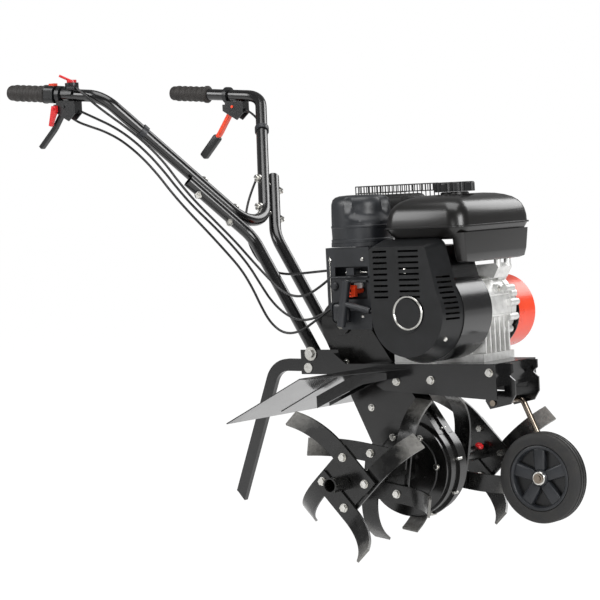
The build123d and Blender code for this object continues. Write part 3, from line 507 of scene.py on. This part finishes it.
@dataclass
class TransportWheel(Machine):
    """Solid tyre on a moulded rim with five spokes and a zinc hub ring."""

    x: float = 290.0
    z: float = -15.0
    radius: float = 89.0
    half: float = 19.0
    spokes: int = 5

    def place(self) -> Matrix:
        """Placement with local Z along the axle, towards the machine's left."""
        return along(self.at(self.x, 0, self.z), Vector((0, 1, 0)))

    def tyre_profile(self) -> list[Pair]:
        """Closed outline of the tyre with three grooves.

        Returns:
            Radius and height pairs in metres.
        """
        r, h = self.radius, self.half
        points = [(64.2, -15), (66, -h + 1), (72, -h), (82, -h + 0.6), (87, -h + 3), (r - 0.6, -h + 6.5)]
        for middle in (-9, 0, 9):
            points += [(r, middle - 2.2), (r - 0.3, middle - 1.5), (r - 3.2, middle - 0.9)]
            points += [(r - 3.2, middle + 0.9), (r - 0.3, middle + 1.5), (r, middle + 2.2)]
        points += [(r - 0.6, h - 6.5), (87, h - 3), (82, h - 0.6), (72, h), (66, h - 1), (64.2, 15)]
        return [(a / 1000, b / 1000) for a, b in points]

    def rim_shapes(self) -> list[Shape]:
        """Rim band, recessed web, spokes and hub.

        Returns:
            The shapes, in place.
        """
        band = [(57, -15), (58.5, -17), (62, -17.6), (64, -16.5), (64, 16.5),
                (62, 17.6), (58.5, 17), (57, 15), (56, 4), (56, -4)]
        web = [(14, -1.5), (57.5, -1.5), (57.5, 1.5), (14, 1.5)]
        hub = [(6.1, -18), (8, -18.6), (14, -18.4), (16.5, -16), (19, -5), (19, 5), (16.5, 16), (14, 18.4),
               (8, 18.6), (6.1, 18)]
        shapes = [turned(ring, self.place(), 72, True) for ring in (band, web, hub)]
        for k in range(self.spokes):
            turn = Matrix.Rotation(math.tau * k / self.spokes + 0.3, 4, "Z")
            spoke = slab((0.014, -0.011, -0.0145), (0.059, 0.011, 0.0145), 0.004)
            for vert in spoke.verts:
                if vert.co.x > 0.03:
                    vert.co.y *= 1.25
            bmesh.ops.transform(spoke, matrix=self.place() @ turn, verts=spoke.verts)
            shapes.append(spoke)
        return shapes

    def build(self, palette: Palette) -> None:
        """Makes tyre, rim and hub ring."""
        tread = lathe(self.tyre_profile(), self.place(), 128, True)
        tyre = finish_mesh("solid_tyre", tread, palette.get(Slot.tyre_rubber), 40)
        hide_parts("tyre")
        rim = finish_mesh("spoked_rim", joined(self.rim_shapes()), palette.get(Slot.grey_plastic))
        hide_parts("wheel_rim")
        rings = []
        for side in (-1, 1):
            ring = [(6.4, side * 18.2), (7.0, side * 19.2), (12.6, side * 19.2), (13.6, side * 18.2)]
            rings.append(turned(ring, self.place(), 48, True))
        hub = finish_mesh("hub_rings", joined(rings), palette.get(Slot.zinc))
        dark = [(19.4, -2.4), (56.2, -2.4), (56.2, 2.4), (19.4, 2.4)]
        disc = turned(dark, self.place(), 72, True)
        web = finish_mesh("rim_web", disc, palette.get(Slot.black_plastic))
        for piece in (tyre, rim, hub, web):
            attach(piece, "transport_wheel")


@dataclass
class StarterFace(Machine):
    """Details of the starter cover: a plain silver ring and screws."""

    x: float = 122.0
    z: float = 321.0

    def build(self, palette: Palette) -> None:
        """Adds the ring and the screws."""
        ring = [(29.3, 0.0), (30.2, 1.4), (32.4, 1.4), (33.3, 0.0)]
        place = along(self.at(self.x, -198, self.z), Vector((0, -1, 0)))
        made = finish_mesh("cover_ring", turned(ring, place, 72, True), palette.get(Slot.zinc))
        screws = []
        for x, z in ((117, 402), (48, 270), (190, 270)):
            head = [(0, 3.0), (3.2, 2.7), (5.2, 1.4), (5.6, 0.0), (0, 0)]
            face = along(self.at(x, -192 if z > 300 else -176, z), Vector((0, -1, 0)))
            screws.append(turned(head, face, 24))
        bolts = finish_mesh("cover_screws", joined(screws), palette.get(Slot.zinc))
        for piece in (made, bolts):
            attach(piece, "frame")


@dataclass
class Casting(Machine):
    """Upright ribs on the front of the crankcase."""

    ribs: tuple[float, ...] = (-20.0, -2.0, 16.0, 34.0, 52.0, 70.0)

    def build(self, palette: Palette) -> None:
        """Adds the ribs."""
        ribs = []
        for y in self.ribs:
            ribs.append(slab(tuple(self.at(150, y - 2, 228)), tuple(self.at(188, y + 2, 300)), 0.001))
        made = finish_mesh("crankcase_ribs", joined(ribs), palette.get(Slot.cast_alloy))
        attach(made, "frame")


@dataclass
class ChainCaseTrim(Machine):
    """A pressed bead and rim screws on each half of the chain case."""

    beads: tuple[float, ...] = (70.0,)
    face: float = 38.0
    screws: tuple[Pair, ...] = ((-30.0, 62.0), (34.0, 60.0), (70.0, 4.0), (40.0, -57.0), (-36.0, -60.0))
    neck_screws: tuple[Pair, ...] = ((-85.0, 120.0), (-60.0, 190.0), (-140.0, 212.0))

    def build(self, palette: Palette) -> None:
        """Adds the beads in paint and the screws in zinc."""
        beads, screws = [], []
        for side in (-1, 1):
            way = Vector((0, side, 0))
            for radius in self.beads:
                ring = [(radius - 2.6, -0.6), (radius - 1.4, 0.8), (radius, 1.3), (radius + 1.4, 0.8),
                        (radius + 2.6, -0.6)]
                place = along(self.at(0, side * self.face, 0), way)
                beads.append(turned(ring, place, 96, True))
            spots = [(x, z, self.face) for x, z in self.screws] + [(x, z, 27.0) for x, z in self.neck_screws]
            for x, z, y in spots:
                head = [(0, 4.4), (4.2, 4.2), (5.0, 3.4), (5.2, 1.0), (7.4, 0.9), (7.6, 0.0), (0, 0)]
                screws.append(turned(head, along(self.at(x, side * y, z), way), 12))
        paint = finish_mesh("chain_case_beads", joined(beads), palette.get(Slot.chain_case_black))
        heads = finish_mesh("chain_case_screws", joined(screws), palette.get(Slot.zinc))
        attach(paint, "frame")
        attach(heads, "frame")


def rounded_ring(low: Pair, high: Pair, corner: float, steps: int = 8) -> list[Pair]:
    """Outline of a rectangle with round corners.

    Args:
        low: lowest corner.
        high: highest corner.
        corner: radius of the corners.
        steps: points across each corner.

    Returns:
        The outline, anticlockwise.
    """
    points = []
    centres = ((high[0] - corner, high[1] - corner), (low[0] + corner, high[1] - corner),
               (low[0] + corner, low[1] + corner), (high[0] - corner, low[1] + corner))
    for quarter, (x, y) in enumerate(centres):
        for k in range(steps + 1):
            turn = math.pi / 2 * (quarter + k / steps)
            points.append((x + corner * math.cos(turn), y + corner * math.sin(turn)))
    return points


def loft(rings: list[list[Vector]]) -> Shape:
    """Skins a stack of rings with equal counts and closes both ends.

    Args:
        rings: the sections from one end to the other.

    Returns:
        The closed shape.
    """
    bm = bmesh.new()
    rows = [[bm.verts.new(point) for point in ring] for ring in rings]
    for lower, upper in zip(rows, rows[1:]):
        for k in range(len(lower)):
            after = (k + 1) % len(lower)
            bm.faces.new((lower[k], lower[after], upper[after], upper[k]))
    bm.faces.new(list(reversed(rows[0])))
    bm.faces.new(rows[-1])
    return bm


@dataclass
class FuelTank(Machine):
    """Pressed tank: domed top half, rolled seam flange and a tapered lower half, deeper in front."""

    low: tuple[float, float] = (36.0, -154.0)
    high: tuple[float, float] = (225.0, 128.0)
    dome: tuple[Pair, ...] = (
        (484.0, 3.0), (496.0, 3.6), (508.0, 6.0), (518.0, 10.0), (526.0, 16.0), (533.0, 25.0), (538.0, 37.0),
        (541.5, 52.0), (543.0, 70.0))
    pan: tuple[Pair, ...] = ((458.0, 22.0), (461.0, 15.0), (468.0, 10.0), (476.0, 6.0), (481.0, 4.0))
    seam: tuple[Pair, ...] = ((480.6, 1.0), (481.2, 0.0), (483.6, 0.0), (484.2, 1.0))

    def section(self, z: float, inset: float, corner: float) -> list[Vector]:
        """Makes one level outline of the tank.

        Args:
            z: height above the shaft in millimetres.
            inset: distance inside the seam's outline.
            corner: radius of the corners.

        Returns:
            The outline's points.
        """
        low = (self.low[0] + inset, self.low[1] + inset)
        high = (self.high[0] - inset, self.high[1] - inset)
        return [self.at(x, y, z) for x, y in rounded_ring(low, high, corner)]

    def apron(self) -> Shape:
        """Makes the deeper front part of the lower half.

        Returns:
            The closed shape.
        """
        rings = []
        for z, inset in ((412.0, 9.0), (415.0, 4.0), (430.0, 2.0), (470.0, 0.0)):
            low, high = (190.0 + inset / 3, -140.0 + 8 * inset / 3), (219.0 - inset, 114.0 - 8 * inset / 3)
            rings.append([self.at(x, y, z) for x, y in rounded_ring(low, high, 9.0)])
        return loft(rings)

    def build(self, palette: Palette) -> None:
        """Makes the tank with its neck."""
        dome = loft([self.section(z, inset, max(34.0 - inset * 0.3, 12.0)) for z, inset in self.dome])
        pan = loft([self.section(z, inset, 28.0) for z, inset in self.pan])
        seam = loft([self.section(z, inset, 34.0) for z, inset in self.seam])
        neck = [(0, 0), (28, 0), (28, 6), (25, 7.4), (0, 7.4)]
        place = along(self.at(130, -18, 540), Vector((0, 0, 1)))
        parts = [dome, pan, seam, self.apron(), turned(neck, place, 48)]
        made = finish_mesh("pressed_fuel_tank", joined(parts), palette.get(Slot.tank_black), 55)
        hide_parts("fuel_tank")
        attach(made, "frame")


@dataclass
class AirCleaner(Machine):
    """Round cover with a scooped shoulder on the near side, over a stepped lower band."""

    x: float = -55.0
    y: float = -75.0
    steps: int = 96
    levels: tuple[Pair, ...] = (
        (457.2, 58.0), (457.4, 61.2), (463.0, 61.6), (464.5, 59.8), (486.0, 60.4), (487.0, 61.2),
        (490.0, 61.2), (491.0, 60.0), (498.0, 59.9), (503.0, 59.8), (507.0, 59.7),
        (511.0, 59.6), (516.0, 59.4), (524.0, 59.2), (530.0, 58.9), (534.0, 58.6),
        (542.0, 56.0), (547.0, 50.5), (549.5, 42.0), (550.5, 28.0))

    def build(self, palette: Palette) -> None:
        """Makes the cover."""
        rings = []
        for z, radius in self.levels:
            ring = []
            for k in range(self.steps):
                turn = math.tau * k / self.steps
                across = math.cos(turn - math.radians(-38))
                lift = min(max((z - 496.0 - 26.0 * (1.0 - across)) / 16.0, 0.0), 1.0)
                inner = radius - 12.0 * lift * min(max((across - 0.62) / 0.12, 0.0), 1.0)
                ring.append(self.at(self.x + inner * math.cos(turn), self.y + inner * math.sin(turn), z))
            rings.append(ring)
        made = finish_mesh("air_cleaner_cap", loft(rings), palette.get(Slot.grey_plastic), 32)
        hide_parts("air_cleaner_cover")
        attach(made, "frame")


@dataclass
class SilencerGuard(Machine):
    """Wire mesh lid and side mesh around the silencer, with the silencer box inside."""

    low: Point = (-110.0, -8.0, 462.0)
    high: Point = (12.0, 112.0, 566.0)
    pitch: float = 10.0
    wire: float = 1.1

    def bar(self, start: Point, end: Point) -> Shape:
        """Makes one straight wire.

        Args:
            start: first end, in millimetres from the shaft.
            end: second end.

        Returns:
            The wire.
        """
        way = self.at(*end) - self.at(*start)
        profile = [(0.0, 0.0), (self.wire / 1000, 0.0), (self.wire / 1000, way.length), (0.0, way.length)]
        return lathe(profile, along(self.at(*start), way.normalized()), 8)

    def build(self, palette: Palette) -> None:
        """Makes the mesh and the silencer."""
        (x0, y0, z0), (x1, y1, z1) = self.low, self.high
        bars = []
        across = round((x1 - x0) / self.pitch)
        for k in range(across + 1):
            x = x0 + (x1 - x0) * k / across
            bars += [self.bar((x, y0, z1), (x, y1, z1)), self.bar((x, y1, z0), (x, y1, z1))]
            bars.append(self.bar((x, y0, z1 - 14), (x, y0, z1)))
        deep = round((y1 - y0) / self.pitch)
        for k in range(deep + 1):
            y = y0 + (y1 - y0) * k / deep
            bars += [self.bar((x0, y, z1), (x1, y, z1)), self.bar((x0, y, z0), (x0, y, z1))]
            bars.append(self.bar((x1, y, z1 - 14), (x1, y, z1)))
        for z in (z0, z0 + 26, z0 + 52, z0 + 78, z1 - 14):
            bars += [self.bar((x0, y1, z), (x1, y1, z)), self.bar((x0, y0, z), (x0, y1, z))]
        bars.append(self.bar((x0, y0, z1 - 14), (x1, y0, z1 - 14)))
        box = slab(tuple(self.at(-98, 8, 458)), tuple(self.at(-2, 96, 548)), 0.014, None, 5)
        band = slab(tuple(self.at(-100, 6, 500)), tuple(self.at(0, 98, 503)), 0.0014)
        mesh = finish_mesh("silencer_mesh", joined(bars + [box, band]), palette.get(Slot.muffler_black))
        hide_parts("muffler")
        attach(mesh, "frame")


@dataclass
class PanelDetails(Machine):
    """Dark backing behind the lever slots, the ribbed arm and the small coloured throttle parts."""

    def build(self, palette: Palette) -> None:
        """Adds the small pieces around the carburettor."""
        dark = [slab(tuple(self.at(-102, -108.5, 300)), tuple(self.at(-5, -106.5, 444)), 0.0005),
                slab(tuple(self.at(-101, -137, 388)), tuple(self.at(-6, -132.2, 391)), 0.001),
                slab(tuple(self.at(-64, -138, 378.5)), tuple(self.at(-10, -132.2, 383)), 0.001)]
        arm = [slab(tuple(self.at(-92, -142, 300)), tuple(self.at(-52, -132.2, 340)), 0.008, None, 4),
               slab(tuple(self.at(-50, -140, 322)), tuple(self.at(-8, -132.2, 332)), 0.003)]
        pivot = [(0, 6.0), (6.0, 5.4), (8.6, 3.0), (9.0, 0.0), (0, 0)]
        outwards = Vector((0, -1, 0))
        dark.append(turned(pivot, along(self.at(-88, -132, 372), outwards), 32))
        bright = []
        for x, z, radius in ((-20, 424, 4.0), (-96, 424, 3.4), (-24, 312, 3.4)):
            head = [(0, 3.0), (radius * 0.7, 2.8), (radius, 1.6), (radius, 0.0), (0, 0)]
            bright.append(turned(head, along(self.at(x, -132, z), outwards), 20))
        bright.append(slab(tuple(self.at(-98, -133.4, 340)), tuple(self.at(-96.4, -131.9, 430)), 0.0004))
        bright.append(slab(tuple(self.at(-66, -126, 397)), tuple(self.at(-14, -122, 400)), 0.0008))
        red = []
        for z, radius in ((350, 7.0), (356, 8.0), (366, 6.0)):
            disc = [(0, 4.0), (radius - 1, 4.0), (radius, 3.0), (radius, 0.0), (0, 0)]
            red.append(turned(disc, along(self.at(-52, -124, z), Vector((0, 0, 1))), 24))
        pieces = ((dark + arm, "panel_ribs", Slot.grey_plastic), (bright, "panel_screws", Slot.zinc),
                  (red, "governor_caps", Slot.orange_plastic))
        for shapes, name, slot in pieces:
            made = finish_mesh(name, joined(shapes), palette.get(slot))
            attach(made, "frame")


@dataclass
class LeverSleeve(Machine):
    """Black dipped sleeve over the lower half of the reverse lever."""

    top: Point = (-662.0, 275.0, 694.0)
    tip: Point = (-703.5, 275.0, 652.0)
    half: float = 0.0092

    def build(self, palette: Palette) -> None:
        """Makes the sleeve; it swings with the lever."""
        start, end = self.at(*self.top), self.at(*self.tip)
        length = (end - start).length
        place = along(start, (end - start).normalized())
        half = self.half
        sleeve = slab((-half, -half, 0), (half, half, length + 0.004), 0.005, place, 5)
        made = finish_mesh("reverse_lever_sleeve", sleeve, palette.get(Slot.black_plastic))
        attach(made, "reverse_hand_lever")


@dataclass
class CastingBolts(Machine):
    """Bosses, cross ribs and bolts on the crankcase and its cover."""

    x: float = 118.0
    z: float = 316.0
    flange: float = 70.0

    def head(self, spot: Vector, way: Vector, radius: float, height: float) -> Shape:
        """Makes one hexagon head with a collar.

        Args:
            spot: middle of its seat.
            way: direction it points in.
            radius: radius over the corners, in millimetres.
            height: height of the head, in millimetres.

        Returns:
            The head.
        """
        profile = [(0, height), (radius * 0.8, height), (radius, height * 0.75), (radius, 1.0)]
        profile += [(radius * 1.35, 0.9), (radius * 1.4, 0.0), (0, 0)]
        return turned(profile, along(spot, way), 6)

    def build(self, palette: Palette) -> None:
        """Adds cast bosses in alloy and their bolts in zinc."""
        bosses, bolts = [], []
        out = Vector((0, 1, 0))
        for degrees in (-42, -18, 6, 30, 54):
            turn = math.radians(degrees)
            x, z = self.x + self.flange * math.cos(turn), self.z + self.flange * math.sin(turn)
            boss = [(0, 0), (7.4, 0), (7.8, 3), (7.8, 30), (7.0, 33), (0, 33)]
            bosses.append(turned(boss, along(self.at(x + 4, 66, z), out), 32))
            bolts.append(self.head(self.at(x + 4, 99, z), out, 4.6, 4.4))
        front = Vector((1, 0, 0))
        for y, z, radius in ((-22, 268, 5.0), (-22, 352, 5.0), (44, 352, 5.0), (20, 250, 7.0)):
            reach = math.sqrt(max(70.0 ** 2 - (z - self.z) ** 2, 0.0))
            boss = [(0, 0), (radius + 4, 0), (radius + 3.6, 12), (radius + 2.6, 14), (0, 14)]
            bosses.append(turned(boss, along(self.at(self.x + reach - 8, y, z), front), 32))
            bolts.append(self.head(self.at(self.x + reach + 6, y, z), front, radius, 4.6))
        for z in (372.0, 340.0, 300.0, 268.0):
            reach = math.sqrt(70.0 ** 2 - (z - self.z) ** 2)
            low, high = self.at(self.x + reach - 14, -30, z - 1.6), self.at(self.x + reach + 4, 78, z + 1.6)
            bosses.append(slab(tuple(low), tuple(high), 0.0012))
        pieces = ((bosses, "crankcase_bosses", Slot.cast_alloy), (bolts, "crankcase_bolts", Slot.zinc))
        for shapes, name, slot in pieces:
            made = finish_mesh(name, joined(shapes), palette.get(slot))
            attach(made, "frame")


@dataclass
class HubPlug(Machine):
    """Small red plug in the inner plate of the left tine set."""

    spot: Point = (7.0, 232.0, 13.0)

    def build(self, palette: Palette) -> None:
        """Makes the plug; it turns with the tines."""
        profile = [(0, 7.0), (5.5, 6.2), (8.6, 3.4), (9.2, 0.0), (0, 0)]
        place = along(self.at(*self.spot), Vector((0.45, -0.3, 0.84)).normalized())
        made = finish_mesh("hub_plug", turned(profile, place, 32), palette.get(Slot.red_plastic))
        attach(made, "tine_rotor")


# ---- studio --------------------------------------------------------------------------------
@dataclass
class Studio(Machine):
    """Camera, lamps, world and floor."""

    azimuth: float = 35.0
    pitch: float = 4.69
    nose: float = 3.5
    lens: float = 149.1
    eye: Point = (2690.1, -4194.7, 578.6)
    lamps: tuple[tuple[Point, float, float], ...] = field(default_factory=lambda: (
        ((-2.0, -2.4, 2.2), 1.8, 60.0), ((3.4, -1.2, 1.5), 1.6, 78.0), ((1.0, 3.0, 2.4), 1.8, 40.0),
        ((0.3, -0.5, 3.4), 2.4, 62.0), ((1.6, -3.8, 0.7), 1.4, 14.0)))

    def camera(self) -> None:
        """Places the camera that the scene is seen through."""
        data = bpy.data.cameras.new("camera")
        data.lens = self.lens
        data.sensor_width = 36.0
        data.clip_end = 50.0
        made = bpy.data.objects.new("camera", data)
        heading = Matrix.Rotation(math.radians(self.azimuth), 4, "Z")
        level = heading @ Matrix.Rotation(math.radians(90 - self.pitch), 4, "X")
        tilt = Matrix.Rotation(math.radians(self.nose), 4, "Y")
        made.matrix_world = Matrix.Translation(self.at(*self.eye)) @ tilt @ level
        bpy.context.collection.objects.link(made)
        bpy.context.scene.camera = made

    def light(self) -> None:
        """Adds soft area lamps and a pale world."""
        for number, (place, size, power) in enumerate(self.lamps):
            data = bpy.data.lights.new(f"lamp_{number}", "AREA")
            data.size = size
            data.energy = power
            made = bpy.data.objects.new(f"lamp_{number}", data)
            made.location = place
            way = Vector((0.1, 0.0, 0.45)) - Vector(place)
            made.rotation_euler = way.to_track_quat("-Z", "Y").to_euler()
            bpy.context.collection.objects.link(made)
        world = bpy.data.worlds.new("studio")
        world.use_nodes = True
        tree = world.node_tree
        tree.nodes.clear()
        rays = add(tree, "ShaderNodeLightPath")
        seen = add(tree, "ShaderNodeMath", {
            0: rays.outputs["Is Camera Ray"], 1: rays.outputs["Is Transmission Ray"]}, operation="MAXIMUM")
        strength = add(tree, "ShaderNodeMapRange", {"Value": seen.outputs[0], "To Min": 0.22, "To Max": 1.0})
        back = add(tree, "ShaderNodeBackground", {"Color": (1, 1, 1, 1), "Strength": strength.outputs[0]})
        add(tree, "ShaderNodeOutputWorld", {"Surface": back.outputs[0]})
        bpy.context.scene.world = world

    def floor(self) -> None:
        """Adds a pale floor that keeps the machine's shadow."""
        bm = bmesh.new()
        bmesh.ops.create_grid(bm, x_segments=2, y_segments=2, size=60.0)
        material = bpy.data.materials.new("studio_floor")
        material.use_nodes = True
        tree = material.node_tree
        tree.nodes.clear()
        paper = add(tree, "ShaderNodeBsdfDiffuse", {"Color": linear("#f4f4f4")})
        glow = add(tree, "ShaderNodeEmission", {"Color": (1, 1, 1, 1), "Strength": 1.06})
        rays = add(tree, "ShaderNodeLightPath")
        mirror = add(tree, "ShaderNodeMath", {
            0: rays.outputs["Is Glossy Ray"], 1: 0.45}, operation="MULTIPLY")
        share = add(tree, "ShaderNodeMath", {
            0: rays.outputs["Is Camera Ray"], 1: 0.93, 2: mirror.outputs[0]}, operation="MULTIPLY_ADD")
        mixed = add(tree, "ShaderNodeMixShader", {
            0: share.outputs[0], 1: paper.outputs[0], 2: glow.outputs[0]})
        add(tree, "ShaderNodeOutputMaterial", {"Surface": mixed.outputs[0]})
        finish_mesh("studio_floor", bm, material)


def main() -> None:
    """Builds the scene in order."""
    logging.basicConfig(level=logging.INFO, format="%(name)s: %(message)s")
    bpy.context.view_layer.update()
    bpy.context.scene.view_settings.view_transform = "Standard"
    palette = Palette()
    studio = Studio()
    studio.camera()
    Cables().build(palette)
    palette.dress()
    assemblies = (HandGrips(), TransportWheel(), StarterFace(), Casting(), ChainCaseTrim(), FuelTank(),
                  AirCleaner(), SilencerGuard(), PanelDetails(), LeverSleeve(), CastingBolts(), HubPlug())
    for assembly in assemblies:
        assembly.build(palette)
        LOG.info("built %s", type(assembly).__name__)
    studio.light()
    studio.floor()
    bpy.context.view_layer.update()


if __name__ == "__main__":
    main()
